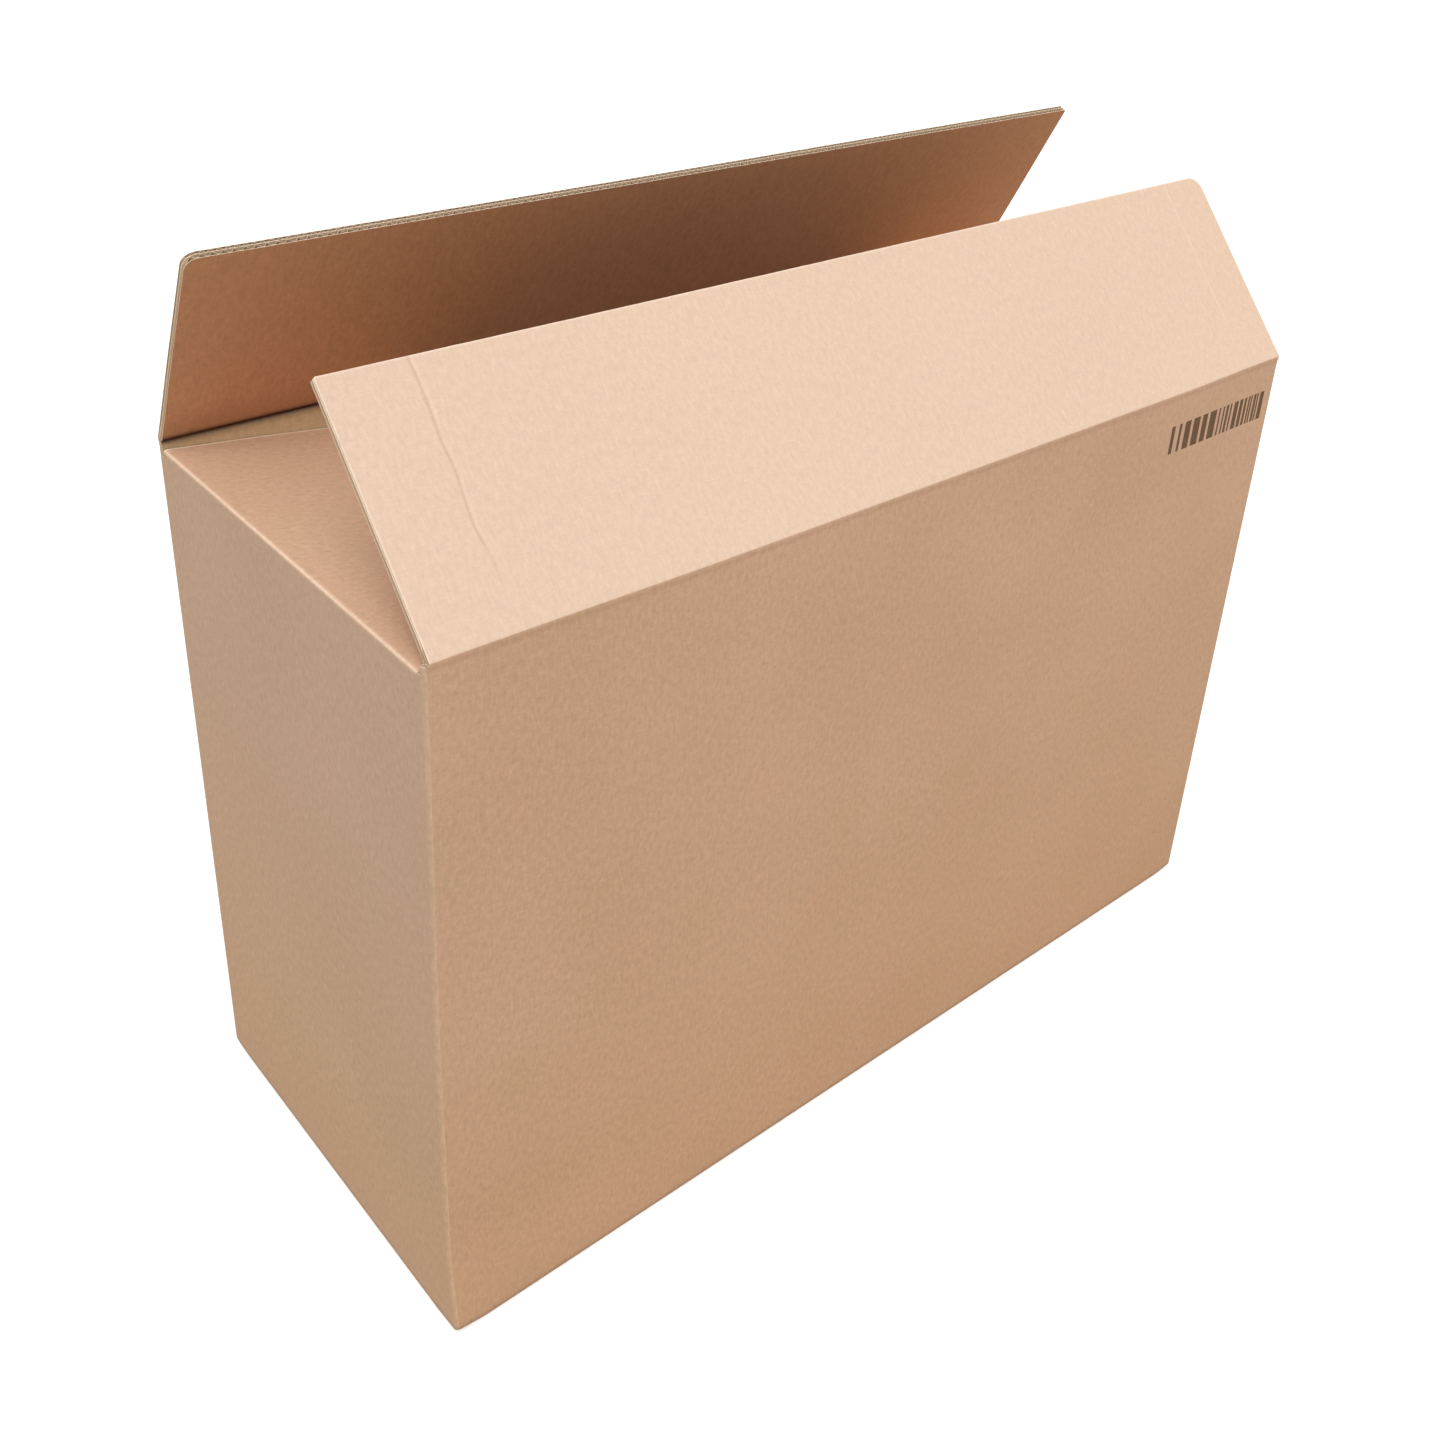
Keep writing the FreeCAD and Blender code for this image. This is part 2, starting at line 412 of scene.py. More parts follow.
def flute_ribbon(sheet, fold, floor, height, pitch, phase):
    """Waved medium that shows between two liners along a flap's free edge."""
    start = fold.low_end + SIDE_RECESS + MEDIUM
    end = fold.high_end - SIDE_RECESS - MEDIUM
    middle = floor + height / 2
    swing = (height - MEDIUM) / 2
    steps_per_wave = 9
    count = int((end - start) / pitch * steps_per_wave)
    rings = []
    for n in range(count + 1):
        s = start + (end - start) * n / count
        turn = 2 * math.pi * s / pitch + phase + 0.5 * ripple((s, 0, 0), 9, fold.seed)
        slope = swing * 2 * math.pi / pitch * math.cos(turn)
        half = MEDIUM / 2 * math.sqrt(1 + slope * slope)
        level = middle + swing * math.sin(turn)
        front = fold.edge(s) - 0.12 * MM - 0.2 * MM * (0.5 + 0.5 * ripple((s, 0, 0), 130, 5))
        back = fold.edge(s) - END_RECESS
        ring = []
        for v, side in ((front, -1), (front, 1), (back, 1), (back, -1)):
            depth = min(floor + height, max(floor, level + side * half))
            ring.append(sheet.corner(fold.place(s, v, depth), (*fold.blank_at(s, v), depth)))
        rings.append(ring)
    for one, two in zip(rings, rings[1:]):
        for k in range(4):
            n = (k + 1) % 4
            sheet.face([one[k], two[k], two[n], one[n]], FLUTE)
    sheet.face(list(rings[0]), FLUTE)
    sheet.face(list(reversed(rings[-1])), FLUTE)


def flap(name, fold, materials):
    """One top flap with its crease and open flutes."""
    sheet = Sheet()
    flap_board(sheet, fold)
    coarse_floor = 2 * LINER + FINE_HEIGHT
    flute_ribbon(sheet, fold, LINER, FINE_HEIGHT, FINE_PITCH, fold.seed)
    flute_ribbon(sheet, fold, coarse_floor, COARSE_HEIGHT, COARSE_PITCH, 2 * fold.seed)
    piece = sheet.made(name, materials)
    return piece


def blend_across(piece, fold):
    """Bakes a long flap's placement into its mesh; the span across its crease is worked out but not used.
    """
    mid_way = Vector((-math.sin(fold.fold / 2), math.cos(fold.fold / 2)))
    reach = fold.lip * math.cos(fold.fold / 2) - BOARD * math.sin(fold.fold / 2)
    step = fold.outward * mid_way.x + Vector((0, 0, mid_way.y))
    fold.start - step * reach
    fold.start + step * reach
    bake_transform(piece)


class Column:
    """One upright line of the walls: its place round the blank, and its outer and inner points."""

    def __init__(self, u, outer, inner, top, lift=0.0):
        self.u = u
        self.outer = Vector(outer)
        self.inner = Vector(inner)
        self.top = top
        self.lift = lift


def wall_columns():
    """Upright lines round the carton, from the back left corner past left, front, right and back."""
    a = HALF_LENGTH
    b = HALF_WIDTH
    r = CORNER_RADIUS
    columns = []

    def stretch(start, end, u0, top, marks=(), lift=0.0):
        """Flat part of a panel, each column holding how high the span after it goes."""
        start = Vector(start)
        run = Vector(end) - start
        direction = run.normalized()
        inward = Vector((-direction.y, direction.x))
        for distance in spaced(0, run.length, 24 * MM, marks)[:-1]:
            outer = start + direction * distance
            inner = outer + inward * BOARD
            columns.append(Column(u0 + distance, outer, inner, top(outer), lift))

    def corner(x, y, start_angle, u0, top):
        """Rounded corner crease."""
        sx = math.copysign(1, x)
        sy = math.copysign(1, y)
        steps = 6
        for k in range(steps):
            angle = start_angle + math.pi / 2 * k / steps
            way = Vector((math.cos(angle), math.sin(angle)))
            outer = Vector((x - sx * r, y - sy * r)) + way * r
            inner_middle = Vector((x - sx * (BOARD + INNER_RADIUS), y - sy * (BOARD + INNER_RADIUS)))
            inner = inner_middle + way * INNER_RADIUS
            columns.append(Column(u0 + r * (k / steps), outer, inner, top))

    def end_top(point):
        """Walls end below the short flaps' strips and go higher beside them."""
        along = point.y * math.copysign(1, point.x)
        hair = 0.1 * MM
        if -SHORT_HALF_WIDTH - hair < along < SHORT_HALF_WIDTH - hair:
            return END_STUB_TOP
        beside_post = point.x < 0 and point.y < 0
        return STUB_TOP + 6 * MM if beside_post else STUB_TOP

    def front_top(point):
        return POST_TOP if point.x < -a + FRONT_LEFT_INSET - 0.6 * MM else STUB_TOP

    def back_top(point):
        return STUB_TOP

    end_marks = [b - r - SHORT_HALF_WIDTH, b - r + SHORT_HALF_WIDTH]
    stretch((-a, b - r), (-a, -b + r), 0, end_top, end_marks, HEEL)
    corner(-a, -b, math.pi, WIDTH - r, POST_TOP)
    stretch((-a + r, -b), (a - r, -b), WIDTH + r, front_top, [FRONT_LEFT_INSET - r])
    corner(a, -b, -math.pi / 2, WIDTH + LENGTH - r, STUB_TOP)
    stretch((a, -b + r), (a, b - r - BOARD), WIDTH + LENGTH + r, end_top, end_marks, HEEL)
    lap_u = 2 * WIDTH + LENGTH
    lap = [
        ((a, b - BOARD - r), (a - BOARD, b - BOARD - 4 * MM)),
        ((a - r * 0.3, b - BOARD - r * 0.3), (a - BOARD, b - BOARD - 2 * MM)),
        ((a - r, b - BOARD - 0.05 * MM), (a - BOARD, b - BOARD - 1 * MM)),
        ((a - 0.02 * MM, b - BOARD + 0.05 * MM), (a - BOARD, b - BOARD - 0.5 * MM)),
        ((a, b), (a - BOARD - 0.2 * MM, b - BOARD)),
    ]
    for k, (outer, inner) in enumerate(lap):
        columns.append(Column(lap_u + 2 * MM * k, outer, inner, STUB_TOP))
    stretch((a - 8 * MM, b), (-a + r, b), lap_u + 8 * MM, back_top)
    corner(-a, b, math.pi / 2, 2 * WIDTH + 2 * LENGTH - r, STUB_TOP)
    return columns


def walls(materials):
    """The four standing panels."""
    columns = wall_columns()
    foot_rows = [height for inset, height in reversed(quarter(0, FOOT_RADIUS, FOOT_RADIUS)[:-1])]
    heights = spaced(FOOT, END_STUB_TOP, 22 * MM)
    rows = [*foot_rows, 12 * MM, *heights, STUB_TOP, STUB_TOP + 6 * MM, POST_TOP]

    def place(column, z, depth):
        outward = 1 - depth / BOARD
        low = max(0.0, FOOT_RADIUS - z)
        inset = FOOT_RADIUS - math.sqrt(FOOT_RADIUS**2 - low**2)
        flat = column.outer.lerp(column.inner, depth / BOARD)
        flat = flat.lerp(column.inner, inset / (column.inner - column.outer).length * outward)
        lifted = z + column.lift * max(0.0, 1 - z / FOOT)
        return settled(Vector((flat.x, flat.y, lifted)))

    def present(i, j):
        middle = (rows[j] + rows[j + 1]) / 2
        return middle < columns[i].top

    sheet = Sheet()
    two_skins(sheet, columns, rows, place, lambda column, z: (column.u, z), present, closed=True)
    piece = sheet.made("carton_walls", materials)
    return piece


def swept_loop(sheet, loop, places, put):
    """Closed outline carried along a straight run, with a cut face at each end."""
    rings = []
    for s in places:
        rings.append([sheet.corner(*put(s, a, b, h, depth)) for a, b, h, depth in loop])
    count = len(loop)
    for one, two in zip(rings, rings[1:]):
        for k in range(count):
            n = (k + 1) % count
            sheet.face([one[k], two[k], two[n], one[n]], LINER_FACE)
    sheet.face(list(rings[0]), CUT_EDGE)
    sheet.face(list(reversed(rings[-1])), CUT_EDGE)


def quarter(cx, cz, radius):
    """Corner of an outline, from the wall's face round to the underside."""
    steps = 6
    turns = [math.pi / 2 * k / steps for k in range(steps + 1)]
    return [(cx + radius * math.cos(t), cz - radius * math.sin(t)) for t in turns]


def bottom(materials):
    """Closed bottom flaps, from inside the walls' foot: the short ones lie on the long ones."""
    sheet = Sheet()
    root = 2.8 * MM

    def slab(length, low):
        """Outline of a flap, each point with its place up the blank and into the board."""
        under = [(-root, low), (-0.1, low), (-length, low)]
        over = [(a, b + BOARD) for a, b in reversed(under)]
        outline = [(a, b, a, BOARD) for a, b in reversed(over)]
        return outline + [(a, b, a, 0.0) for a, b in reversed(under)]

    back_middle = 2 * WIDTH + LENGTH + HALF_LENGTH
    long_loop = slab(FLAP_LENGTH, 0)
    short_loop = slab(SHORT_FLAP_LENGTH, BOARD)
    sides = [
        (long_loop, (0, -HALF_WIDTH, 0), (1, 0, 0), (0, -1, 0), LONG_BOTTOM_HALF, WIDTH + HALF_LENGTH),
        (long_loop, (0, HALF_WIDTH, 0), (-1, 0, 0), (0, 1, 0), LONG_BOTTOM_HALF, back_middle),
        (short_loop, (-HALF_LENGTH, 0, 0), (0, -1, 0), (-1, 0, 0), SHORT_HALF_WIDTH, HALF_WIDTH),
        (short_loop, (HALF_LENGTH, 0, 0), (0, 1, 0), (1, 0, 0), SHORT_HALF_WIDTH, 1.5 * WIDTH + LENGTH),
    ]
    for loop, start, along, outward, half, u0 in sides:
        start, along, outward = Vector(start), Vector(along), Vector(outward)

        def put(s, a, b, height, depth):
            point = start + along * s + outward * a + Vector((0, 0, b))
            return settled(point), (u0 + s, height, depth)

        swept_loop(sheet, loop, spaced(-half, half, 24 * MM), put)
    piece = sheet.made("bottom_flaps", materials)
    return piece


def glue_tab(materials):
    """Tab of the right end panel, glued inside the back panel."""
    sheet = Sheet()
    width = 38 * MM
    bevel = 12 * MM
    root = HALF_LENGTH - BOARD
    face = HALF_WIDTH - BOARD
    low = 2 * BOARD + 14 * MM
    high = SHORT_CREASE_Z - BOARD - 14 * MM

    def place(s, t, depth):
        taper = bevel * s / width
        z = low + taper + (high - low - 2 * taper) * t
        point = settled(Vector((root - s, face - 0.1 * MM, z)))
        return point + Vector((0, depth - BOARD + 0.05 * MM, 0))

    def blank_at(s, t):
        return (2 * WIDTH + LENGTH + s, low + (high - low) * t)

    columns = spaced(0, width, 9 * MM)
    rows = [k / 24 for k in range(25)]
    two_skins(sheet, columns, rows, place, blank_at, lambda i, j: True)
    piece = sheet.made("glue_tab", materials)
    return piece


def bar_code(material):
    """Printed bars near the front panel's upper right corner, as thin films of ink."""
    x0, x1 = 304 * MM, 451 * MM
    z0, z1 = 568 * MM, 597 * MM
    ink = 0.02 * MM
    bars = (4, 5, 3, 4, 7, 3, 8, 3, 6, 3, 8, 3, 2, 3, 2, 2, 3, 2, 2, 3)
    bars += (5, 2, 4, 2, 3, 2, 2, 1, 2, 2, 3, 1, 2, 2, 5)
    module = (x1 - x0) / sum(bars)
    sheet = Sheet()
    rows = [z0 + (z1 - z0) * k / 3 for k in range(4)]

    def place(s, z, depth):
        return settled(Vector((s, -HALF_WIDTH, z))) + Vector((0, (depth / BOARD - 1) * ink, 0))

    x = x0
    for k, width in enumerate(bars):
        end = x + module * width
        if k % 2 == 0:
            two_skins(sheet, [x, end], rows, place, lambda s, z: (s, z), lambda i, j: True)
        x = end
    piece = sheet.made("bar_code", [material] * 3)
    return piece


class Wire:
    """A shader socket that takes part in arithmetic."""

    def __init__(self, finish, socket):
        self.finish = finish
        self.socket = socket

    def maths(self, operation, *values):
        return self.finish.add("ShaderNodeMath", {"operation": operation}, dict(enumerate(values)))

    def __add__(self, other):
        return self.maths("ADD", self, other)

    def __sub__(self, other):
        return self.maths("SUBTRACT", self, other)

    def __rsub__(self, other):
        return self.maths("SUBTRACT", other, self)

    def __mul__(self, other):
        return self.maths("MULTIPLY", self, other)

    def __truediv__(self, other):
        return self.maths("DIVIDE", self, other)

    def __gt__(self, other):
        return self.maths("GREATER_THAN", self, other)

    def __lt__(self, other):
        return self.maths("LESS_THAN", self, other)

    def __abs__(self):
        return self.maths("ABSOLUTE", self)

    def sine(self):
        return self.maths("SINE", self)

    def larger(self, other):
        return self.maths("MAXIMUM", self, other)

    def within(self, low, high):
        """1 between two values and 0 outside them."""
        return (self > low) * (self < high)

    def rise(self, low, high):
        """Smooth step from 0 at low to 1 at high."""
        settings = {"interpolation_type": "SMOOTHSTEP"}
        return self.finish.add("ShaderNodeMapRange", settings, {0: self, 1: low, 2: high})

    def line(self, at, width):
        """1 on a line at a value, fading to 0 a width away."""
        return 1 - abs(self - at).rise(0, width)

    __radd__ = __add__
    __rmul__ = __mul__


def colour(red, green, blue):
    """Colour as it looks on a screen, 0 to 255, in the renderer's linear values."""
    values = []
    for part in (red, green, blue):
        share = part / 255
        values.append(share / 12.92 if share <= 0.04045 else ((share + 0.055) / 1.055) ** 2.4)
    return (*values, 1.0)


class Finish:
    """The nodes of one material or of the surround."""

    def __init__(self, holder):
        self.holder = holder
        holder.use_nodes = True
        self.nodes = holder.node_tree.nodes
        self.links = holder.node_tree.links
        self.nodes.clear()

    def add(self, kind, settings=None, inputs=None, output=0):
        node = self.nodes.new(kind)
        for name, value in (settings or {}).items():
            setattr(node, name, value)
        for name, value in (inputs or {}).items():
            if isinstance(value, Wire):
                self.links.new(value.socket, node.inputs[name])
            else:
                node.inputs[name].default_value = value
        return Wire(self, node.outputs[output]) if node.outputs else None

    def blank(self):
        """Place on the flat blank: round it, up it and into the board, in metres."""
        return self.add("ShaderNodeAttribute", {"attribute_name": "blank"}, output=1)

    def parts(self, vector):
        split = self.add("ShaderNodeSeparateXYZ", inputs={0: vector}).socket.node
        return [Wire(self, socket) for socket in split.outputs]

    def stretched(self, vector, x, y, z):
        return self.add("ShaderNodeVectorMath", {"operation": "MULTIPLY"}, {0: vector, 1: (x, y, z)})

    def grain(self, vector, scale, detail=3.0, roughness=0.55):
        return self.add(
            "ShaderNodeTexNoise",
            inputs={"Vector": vector, "Scale": scale, "Detail": detail, "Roughness": roughness},
        )

    def mix(self, first, second, share):
        return self.add("ShaderNodeMix", {"data_type": "RGBA"}, {0: share, 6: first, 7: second}, 2)

    def scaled(self, vector, factor):
        return self.add("ShaderNodeVectorMath", {"operation": "SCALE"}, {0: vector, "Scale": factor})

    def background_ray(self):
        """1 where the camera looks, straight, by a mirror image or through glass."""
        path = self.add("ShaderNodeLightPath").socket.node
        names = ("Is Camera Ray", "Is Glossy Ray", "Is Transmission Ray")
        straight, mirrored, through = [Wire(self, path.outputs[name]) for name in names]
        return straight.larger(mirrored.larger(through))

    def surface(self, base, roughness, height=None, depth=0.0001):
        inputs = {"Base Color": base, "Roughness": roughness, "Specular IOR Level": 0.25}
        if height is not None:
            inputs["Normal"] = self.add(
                "ShaderNodeBump", inputs={"Strength": 1.0, "Distance": depth, "Height": height}
            )
        shader = self.add("ShaderNodeBsdfPrincipled", inputs=inputs)
        self.add("ShaderNodeOutputMaterial", inputs={"Surface": shader})
        return self.holder


def kraft_liner():
    """Brown liner paper, with its fibres and faint ribs of the flutes, and painted light and shade:
    highlights on creases and pressed lines, shade in and under creases, and paler or tinted faces where
    light falls.
    """
    f = Finish(bpy.data.materials.new("kraft_liner"))
    blank = f.blank()
    u, h, depth = f.parts(blank)
    apart = f.stretched(blank, 1, 1, 40)
    clouds = f.grain(apart, 5, 2, 0.5)
    blush = f.grain(f.stretched(blank, 1.3, 1, 55), 14, 2, 0.5)
    mottle = f.grain(f.stretched(blank, 1, 0.6, 40), 240, 3, 0.6)
    fibres_along = f.grain(f.stretched(blank, 0.25, 1, 40), 640, 2, 0.6)
    fibres_up = f.grain(f.stretched(blank, 1, 0.22, 40), 520, 2, 0.6)
    specks = f.grain(apart, 420, 2, 0.7)
    wobble = (f.grain(apart, 60, 2) - 0.5) * 0.0016

    outer = depth < BOARD / 2
    inner = 1 - outer
    front = u.within(WIDTH, WIDTH + LENGTH)
    back_side = u > 2 * WIDTH + LENGTH
    end_side = (1 - front) * (1 - back_side)
    on_flap = h > HEIGHT
    front_flap = front * on_flap * outer
    wall = (1 - on_flap) * outer

    base = f.mix(colour(198, 161, 132), colour(203, 166, 138), clouds.rise(0.3, 0.7))
    base = f.mix(base, colour(190, 162, 124), blush.rise(0.5, 0.8) * 0.3)
    base = f.mix(base, colour(208, 162, 138), (1 - blush.rise(0.2, 0.5)) * 0.3)
    # painted light: the left panel's outer face is greyed and cooled, as if lit by cooler light from the
    # left
    base = f.mix(base, colour(178, 158, 136), wall * (u < WIDTH) * 0.45)
    base = f.mix(base, colour(188, 146, 108), wall * (1 - h.rise(0, 0.55)) * 0.4)
    base = f.mix(base, colour(198, 140, 97), inner * 0.8)
    # painted light: the back panel's inside just below the crease is made paler and olive, as where it
    # catches the light
    painted_light_below_crease = h.rise(HEIGHT - 0.16, HEIGHT - 0.01) * (h < HEIGHT)
    base = f.mix(base, colour(214, 194, 156), inner * back_side * painted_light_below_crease * 0.65)
    # painted light: the front flap's outer face is made paler, as its brightly lit face looks
    base = f.mix(base, colour(230, 204, 182), front_flap * 0.78)
    # painted light: the short flaps' outer faces are made paler, brightening them where the flaps above
    # shade them
    base = f.mix(base, colour(222, 186, 158), end_side * on_flap * outer * 0.45)

    # painted highlight: pale lines down the rounded wall corners
    upright = (u + wobble).line(WIDTH, 0.0016)
    for place in (WIDTH + LENGTH, 2 * WIDTH + LENGTH):
        upright = upright + (u + wobble).line(place, 0.0016)
    base = f.mix(base, colour(228, 194, 160), upright * wall * 0.35)
    foot = (h + wobble).line(0.002, 0.006)
    base = f.mix(base, colour(118, 96, 74), foot * outer * 0.45)
    # painted highlight along the short flaps' creases
    crease_painted_highlight = (h + wobble * 0.4).line(HEIGHT, 0.0026)
    base = f.mix(base, colour(242, 214, 190), crease_painted_highlight * end_side * outer * 0.7)
    # painted shade: a thin dark line just under the front crease
    painted_shade_under_crease = (h + wobble).line(HEIGHT - 0.004, 0.004)
    base = f.mix(base, colour(140, 108, 82), painted_shade_under_crease * front * outer * 0.18)
    # painted shade: dark lines along the inside of the back crease, a narrow one and a broad one fading
    # up the flap
    painted_crease_shade = h.line(HEIGHT + 0.0015, 0.009) + h.line(HEIGHT + 0.004, 0.035) * 0.22
    base = f.mix(base, colour(70, 40, 22), painted_crease_shade * inner * back_side * 0.85)

    flap_edge = h.line(HEIGHT + FLAP_LENGTH, 0.0022) + u.line(WIDTH + FRONT_LEFT_INSET, 0.0016)
    base = f.mix(base, colour(250, 230, 212), flap_edge * on_flap * outer * 0.6)
    back_cut = u.line(HALF_WIDTH - SHORT_HALF_WIDTH, 0.0028)
    base = f.mix(base, colour(255, 236, 216), back_cut * on_flap * outer * 0.9)
    # painted shade and highlights of shallow pressed lines on the front flap: a dark line with a pale one
    # beside it at the left, a pale line at the right
    drift = (f.grain(f.stretched(blank, 0.05, 1, 1), 9, 2) - 0.5) * 0.02
    low_fade = h.rise(HEIGHT + 0.02, HEIGHT + 0.07) * front_flap
    left_press_painted_shade = (u + drift).line(WIDTH + HALF_LENGTH - 0.394, 0.0017)
    left_press_painted_highlight = (u + drift).line(WIDTH + HALF_LENGTH - 0.391, 0.002)
    right_press_painted_highlight = (u + drift * 0.3).line(WIDTH + HALF_LENGTH + 0.411, 0.0018)
    base = f.mix(base, colour(196, 158, 130), left_press_painted_shade * low_fade * 0.4)
    base = f.mix(base, colour(246, 222, 202), (left_press_painted_highlight * 0.5 + right_press_painted_highlight) * low_fade * 0.3)

    fleck = (mottle - 0.5) * 0.34 + (fibres_along - 0.5) * 0.26 + (fibres_up - 0.5) * 0.3
    tone = 1 + fleck * (1 - front_flap * 0.35) - specks.rise(0.62, 0.8) * 0.1
    ribs = (u * (2 * math.pi / FINE_PITCH)).sine()
    height = fibres_along * 0.5 + fibres_up * 0.5 + mottle * 0.5 + ribs * 0.02
    return f.surface(f.scaled(base, tone), 0.74 + mottle * 0.2, height, 0.00011)


def cut_edge():
    """Raw cut of the board, where the liners show as pale lines."""
    f = Finish(bpy.data.materials.new("cut_edge"))
    blank = f.blank()
    u, h, depth = f.parts(blank)
    fuzz = f.grain(f.stretched(blank, 1, 1, 3), 900, 3, 0.7)
    middle = LINER * 1.5 + FINE_HEIGHT
    liners = depth.line(0, LINER * 1.5) + depth.line(middle, LINER * 1.1) + depth.line(BOARD, LINER * 1.5)
    base = f.mix(colour(180, 152, 122), colour(244, 226, 204), liners.rise(0.1, 0.7))
    base = f.mix(base, colour(134, 106, 82), fuzz.rise(0.5, 0.8) * 0.4)
    return f.surface(base, 0.85 + fuzz * 0.1, fuzz, 0.0002)


def flute_paper():
    """Greyer fluting paper inside the board."""
    f = Finish(bpy.data.materials.new("flute_paper"))
    fuzz = f.grain(f.stretched(f.blank(), 1, 1, 3), 700, 3, 0.7)
    base = f.mix(colour(176, 150, 122), colour(214, 192, 164), fuzz.rise(0.3, 0.7))
    return f.surface(base, 0.85 + fuzz * 0.1, fuzz, 0.0002)


def printed_ink():
    """Dark brown ink that has sunk a little into the liner."""
    f = Finish(bpy.data.materials.new("printed_ink"))
    worn = f.grain(f.blank(), 420, 3, 0.65)
    base = f.mix(colour(104, 78, 54), colour(142, 112, 86), worn.rise(0.5, 0.75) * 0.5)
    return f.surface(base, 0.7 + worn * 0.2, worn, 0.0001)


def floor():
    """Plain pale floor that shows white to the camera and keeps the shadow."""
    mesh = bpy.data.meshes.new("floor")
    reach = 30.0
    mesh.from_pydata(
        [(-reach, -reach, 0), (reach, -reach, 0), (reach, reach, 0), (-reach, reach, 0)],
        [],
        [(0, 1, 2, 3)],
    )
    plane = bpy.data.objects.new("floor", mesh)
    bpy.context.scene.collection.objects.link(plane)
    f = Finish(bpy.data.materials.new("pale_floor"))
    seen = f.background_ray()
    tint = f.mix((0.62, 0.6, 0.58, 1), (0.9, 0.9, 0.9, 1), seen)
    diffuse = f.add("ShaderNodeBsdfDiffuse", inputs={"Color": tint})
    glow = f.add("ShaderNodeEmission", inputs={"Color": (1, 1, 1, 1), "Strength": seen * 0.25})
    shader = f.add("ShaderNodeAddShader", inputs={0: diffuse, 1: glow})
    f.add("ShaderNodeOutputMaterial", inputs={"Surface": shader})
    mesh.materials.append(f.holder)


def lamp(name, strength, direction, softness, tint=(1, 1, 1)):
    """Distant soft lamp that shines along a direction."""
    data = bpy.data.lights.new(name, "SUN")
    data.energy = strength
    data.angle = math.radians(softness)
    data.color = tint
    lit = bpy.data.objects.new(name, data)
    lit.rotation_mode = "QUATERNION"
    lit.rotation_quaternion = Vector(direction).to_track_quat("-Z", "Y")
    bpy.context.scene.collection.objects.link(lit)


def studio():
    """Soft light from above and in front, with an even white surround."""
    world = bpy.data.worlds.new("surround")
    f = Finish(world)
    seen = f.background_ray()
    dim = f.add("ShaderNodeBackground", inputs={"Color": (1, 0.985, 0.96, 1), "Strength": 0.5})
    white = f.add("ShaderNodeBackground", inputs={"Color": (1, 1, 1, 1), "Strength": 1.0})
    mixed = f.add("ShaderNodeMixShader", inputs={0: seen, 1: dim, 2: white})
    f.add("ShaderNodeOutputWorld", inputs={"Surface": mixed})
    bpy.context.scene.world = world
    lamp("key", 2.0, (0.4, 0.47, -0.79), 40, (1, 0.985, 0.96))
    lamp("sky", 0.4, (0.1, -0.3, -0.95), 60, (0.96, 0.99, 1))


def camera():
    """Camera at the photograph's place: above, in front and to the left of the carton."""
    azimuth = math.radians(-44.43)
    elevation = math.radians(27.54)
    roll = math.radians(4.64)
    flat = math.cos(elevation)
    ahead = Vector((-math.sin(azimuth) * flat, math.cos(azimuth) * flat, -math.sin(elevation)))
    level_right = ahead.cross(Vector((0, 0, 1))).normalized()
    level_up = level_right.cross(ahead)
    right = level_right * math.cos(roll) + level_up * math.sin(roll)
    up = level_up * math.cos(roll) - level_right * math.sin(roll)
    data = bpy.data.cameras.new("camera")
    data.sensor_width = 36.0
    data.lens = 40.5
    data.shift_x = -0.0726
    data.shift_y = -0.1432
    data.clip_end = 100.0
    view = bpy.data.objects.new("camera", data)
    turned = Matrix((right, up, -ahead)).transposed().to_4x4()
    view.matrix_world = Matrix.Translation(Vector((-0.939, -1.0251, 1.2778)) * LENGTH) @ turned
    bpy.context.scene.collection.objects.link(view)
    bpy.context.scene.camera = view


board_finishes = [kraft_liner(), cut_edge(), flute_paper()]
UP_TURN = math.pi / 2

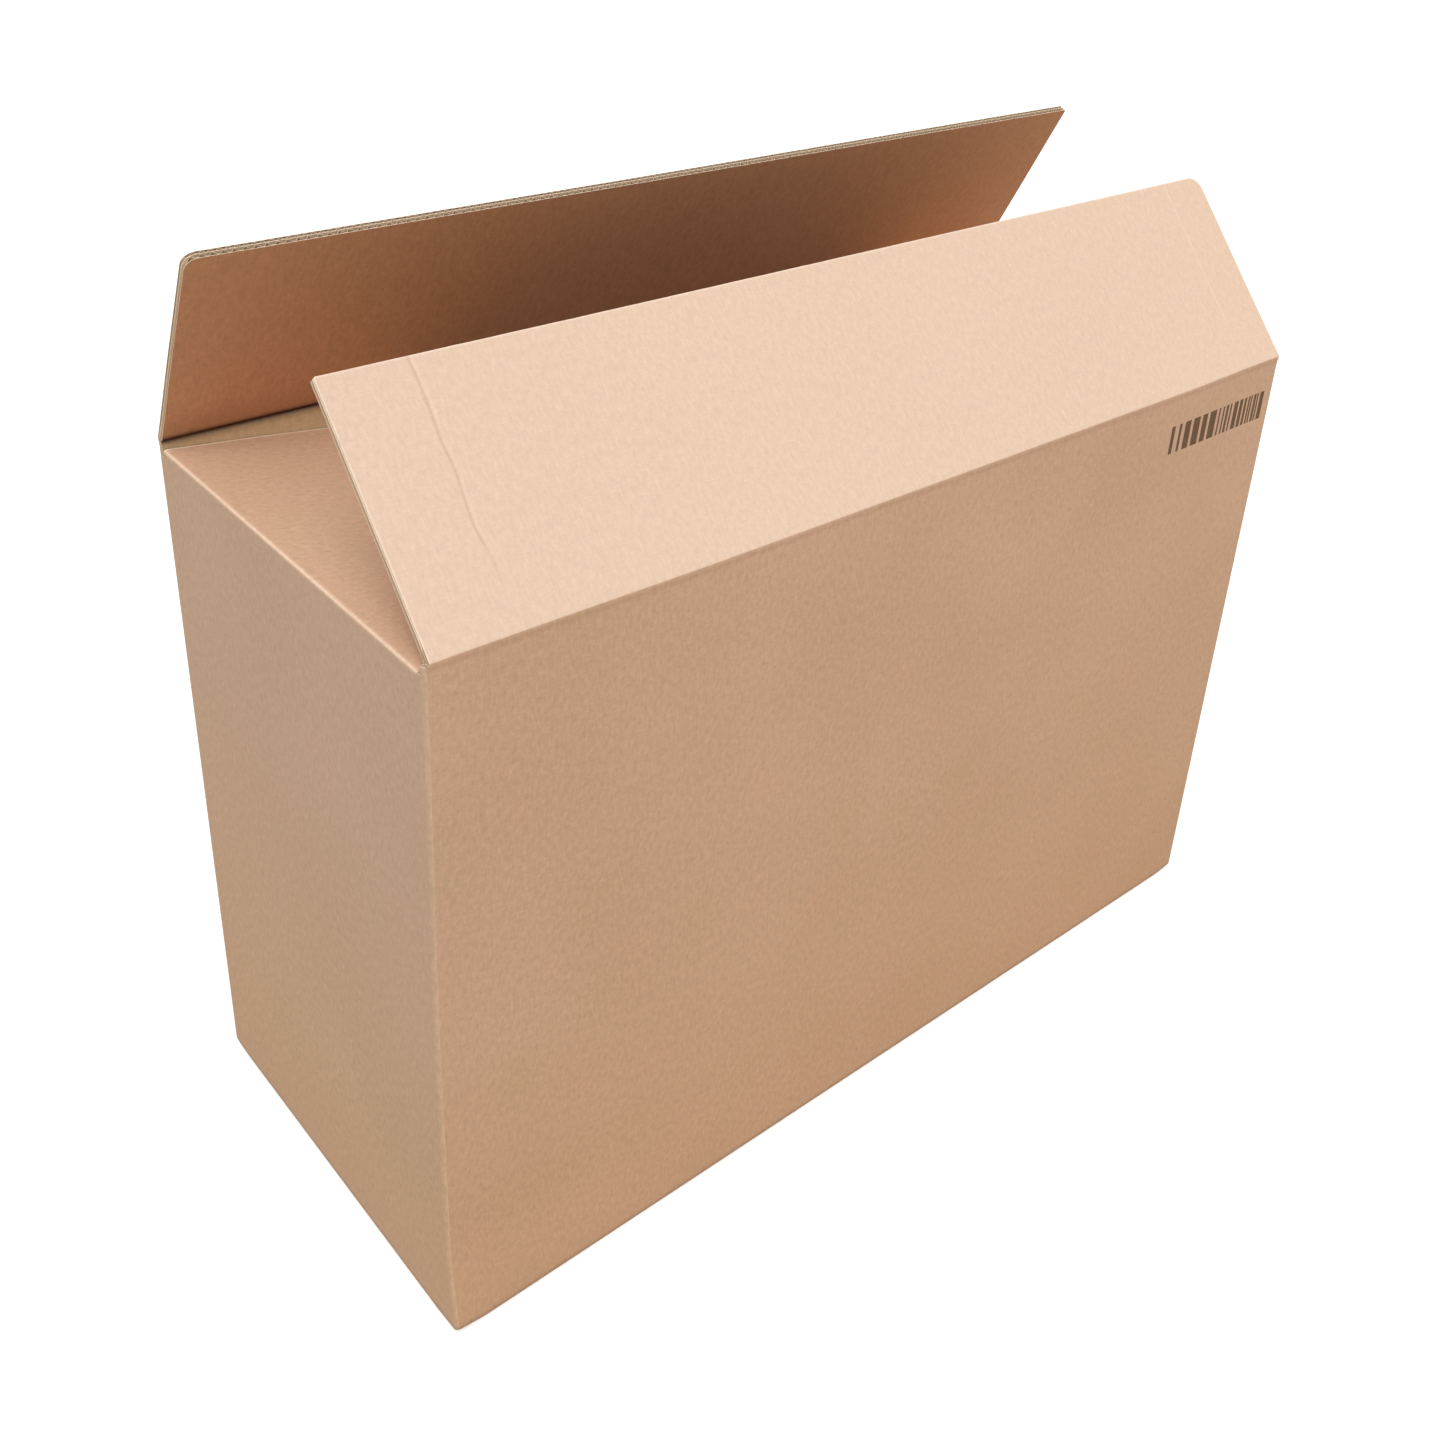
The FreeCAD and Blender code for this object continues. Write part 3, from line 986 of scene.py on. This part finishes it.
front = Fold(
    (0, -HALF_WIDTH, HEIGHT), (1, 0, 0), (0, -1, 0),
    UP_TURN + math.radians(CREASES["front_flap"]["range_deg"][0]), FLAP_LENGTH, WIDTH + HALF_LENGTH,
)
front.low_end = -HALF_LENGTH + FRONT_LEFT_INSET
front.high_end = HALF_LENGTH - FLAP_INSET
front.high_radius = 14 * MM
front.rounded_ends = (False, True)
front.groove = 3 * MM
front.sag = crease_sag
front.seed = 2.0

back = Fold(
    (0, HALF_WIDTH, HEIGHT), (-1, 0, 0), (0, 1, 0),
    UP_TURN + math.radians(CREASES["back_flap"]["range_deg"][0]), FLAP_LENGTH,
    2 * WIDTH + LENGTH + HALF_LENGTH,
)
back.low_end = -HALF_LENGTH + FLAP_INSET
back.high_end = HALF_LENGTH - FLAP_INSET
back.high_radius = 10 * MM
back.rounded_ends = (False, True)
back.groove = 3 * MM
back.seed = 5.0

left = Fold(
    (-HALF_LENGTH, 0, SHORT_CREASE_Z), (0, -1, 0), (-1, 0, 0),
    UP_TURN + SHORT_DROOP, SHORT_FLAP_LENGTH, HALF_WIDTH,
)
right = Fold(
    (HALF_LENGTH, 0, SHORT_CREASE_Z), (0, 1, 0), (1, 0, 0),
    UP_TURN + SHORT_DROOP, SHORT_FLAP_LENGTH, 1.5 * WIDTH + LENGTH,
)
for short, seed in ((left, 7.0), (right, 9.0)):
    short.low_end = -SHORT_HALF_WIDTH
    short.high_end = SHORT_HALF_WIDTH
    short.seed = seed

body_pieces = [
    walls(board_finishes),
    bottom(board_finishes),
    glue_tab(board_finishes),
    flap("left_short_flap", left, board_finishes),
    flap("right_short_flap", right, board_finishes),
    bar_code(printed_ink()),
]
for piece in body_pieces:
    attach(piece, "carton")
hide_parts("carton_body")

front_piece = flap("front_long_flap", front, board_finishes)
blend_across(front_piece, front)
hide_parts("front_flap")
back_piece = flap("back_long_flap", back, board_finishes)
blend_across(back_piece, back)
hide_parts("back_flap")

floor()
studio()
camera()
bpy.context.scene.view_settings.view_transform = "Standard"
